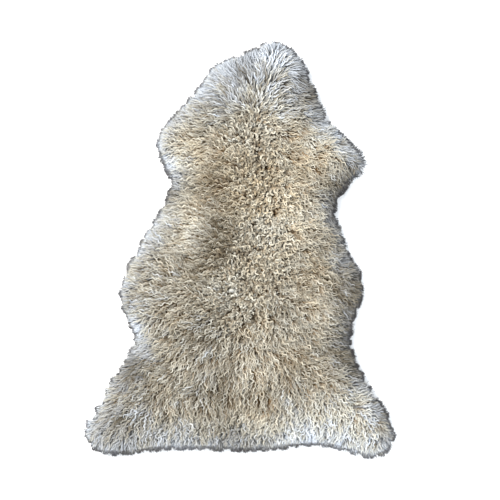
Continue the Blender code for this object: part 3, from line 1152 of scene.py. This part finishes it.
# %% Sorts of wool, and the parts they are grown in
STAPLE = {}  # the tree's own values
WISP = {
    "Spacing": 4.9 * MM,
    "Steps": 12,
    "Thickness": 1.45 * MM,
    "Profile Points": 2,
    "Twist": 0.4,
    "Crimp Pitch": 13 * MM,
    "Crimp Width": 2.2 * MM,
    "Seed": 40,
}
FRINGE = {
    "Inner Share": 0.0,
    "Rim Share": 1.0,
    "Spacing": 2.0 * MM,
    "Steps": 6,
    "Length": 30 * MM,
    "Thickness": 1.15 * MM,
    "Profile Points": 2,
    "Crimp Pitch": 9 * MM,
    "Crimp Width": 1.0 * MM,
    "Tuft Pitch": 17 * MM,
    "Tuft Pull": 0.45,
    "Tip Pull": 0.15,
    "Hem": 1.0,
    "Overshoot": 7 * MM,
}
PARTS = (  # name, from and to along the rug, sort
    ("staples_neck", 0.22, 1.0, STAPLE),
    ("staples_shoulders", 0.05, 0.22, STAPLE),
    ("staples_ribs", -0.11, 0.05, STAPLE),
    ("staples_loin", -0.27, -0.11, STAPLE),
    ("staples_rump", -1.0, -0.27, STAPLE),
    ("wisps_fore", -0.08, 1.0, WISP),
    ("wisps_hind", -1.0, -0.08, WISP),
    ("fringe_fore", 0.06, 1.0, FRINGE),
    ("fringe_hind", -1.0, 0.06, FRINGE),
)
# Attributes that the grown wool has no more use for.
GROWING_ONLY = ("root", "staple", "t", "thick", "round", "tip_shade", "twist", "comb", *BED_VALUES)


# %% Grow them
def grown(name, tree, source, **asked):
    """Runs a tree on a copy of source with the asked inputs, and keeps the plain mesh."""
    host = new_object(name, source.data)
    modifier = host.modifiers.new("grow", "NODES")
    modifier.node_group = tree
    inputs = [item for item in tree.interface.items_tree if item.in_out == "INPUT"]
    names = {item.name: item.identifier for item in inputs}
    for key, value in asked.items():
        modifier[names[key]] = value
    graph = bpy.context.evaluated_depsgraph_get()
    mesh = bpy.data.meshes.new_from_object(host.evaluated_get(graph), depsgraph=graph)
    host.modifiers.clear()
    host.data = mesh
    mesh.name = name
    for key in GROWING_ONLY:
        layer = mesh.attributes.get(key)
        if layer:
            mesh.attributes.remove(layer)
    return host


total = 0
wool_pieces = []
for name, low, high, sort in PARTS:
    piece = grown(name, staples, undercoat, **{"From": low, "To": high, "Material": wool, **sort})
    triangles = sum(len(p.vertices) - 2 for p in piece.data.polygons)
    total += triangles
    print(name, triangles, "triangles")
    wool_pieces.append(piece)
print("all staples:", total, "triangles")

# %% [markdown]
# ## What rides on the root
#
# All of it rests on one body, so every piece rides on the root. The undercoat takes the
# place of the plain fleece, which is hidden. The hide stays as it was measured.

# %% Ride, and hide the plain fleece
for piece in [undercoat, *wool_pieces]:
    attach(piece, "root")
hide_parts("fleece")

low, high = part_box("hide")

# %% [markdown]
# ## Floor, light and camera
#
# The rug lies on a plain pale floor. A large lamp from the upper left gives the wool its
# relief, a weak one from the other side keeps the shadows open, and a low one reaches the
# wool that faces the viewer. The camera looks down steeply, so the whole outline shows.

# %% The floor
FLOOR_HALF = 6
floor_mesh = bpy.data.meshes.new("floor")
floor_corners = [(x * FLOOR_HALF, y * FLOOR_HALF, 0) for x, y in ((-1, -1), (1, -1), (1, 1), (-1, 1))]
floor_mesh.from_pydata(floor_corners, [], [(0, 1, 2, 3)])
floor = new_object("floor", floor_mesh)
floor_finish, _, floor_shader = new_material("pale floor", 0.9)
floor_shader.inputs["Base Color"].default_value = (0.97, 0.97, 0.97, 1.0)
floor_mesh.materials.append(floor_finish)

# %% Camera and lamps
TARGET = Vector((0.0196, -0.0232, 0.0))  # the middle of the view, on the floor
CAMERA_DISTANCE = 2.0
CAMERA_ELEVATION = math.radians(80)
LENS = 60
SKY_COLOUR, SKY_STRENGTH = (0.9, 0.95, 1.0, 1.0), 1.08
LAMPS = (  # name, place, size, power, colour
    ("key", (-2.0, 0.9, 2.4), 1.6, 230, (1.0, 0.98, 0.95)),
    ("fill", (1.5, -1.5, 2.2), 2.5, 34, (0.92, 0.96, 1.0)),
    ("low fill", (0.3, -3.2, 0.6), 2.0, 70, (1.0, 0.97, 0.92)),
)


def add_camera():
    lens = bpy.data.cameras.new("camera")
    lens.lens = LENS
    made = new_object("camera", lens)
    back = Vector((0, -math.cos(CAMERA_ELEVATION), math.sin(CAMERA_ELEVATION)))
    made.location = TARGET + back * CAMERA_DISTANCE
    made.rotation_euler = (-back).to_track_quat("-Z", "Y").to_euler()
    bpy.context.scene.camera = made


def add_light(name, place, size, power, colour):
    lamp = bpy.data.lights.new(name, "AREA")
    lamp.shape = "DISK"
    lamp.size, lamp.energy, lamp.color = size, power, colour
    made = new_object(name, lamp)
    made.location = place
    made.rotation_euler = (TARGET - Vector(place)).to_track_quat("-Z", "Y").to_euler()


add_camera()
for lamp in LAMPS:
    add_light(*lamp)
world = bpy.data.worlds.new("world")
bpy.context.scene.world = world
world.use_nodes = True
sky = world.node_tree.nodes["Background"]
sky.inputs["Color"].default_value = SKY_COLOUR
sky.inputs["Strength"].default_value = SKY_STRENGTH
bpy.context.scene.view_settings.view_transform = "Standard"
print("lamps:", [name for name, *_ in LAMPS])
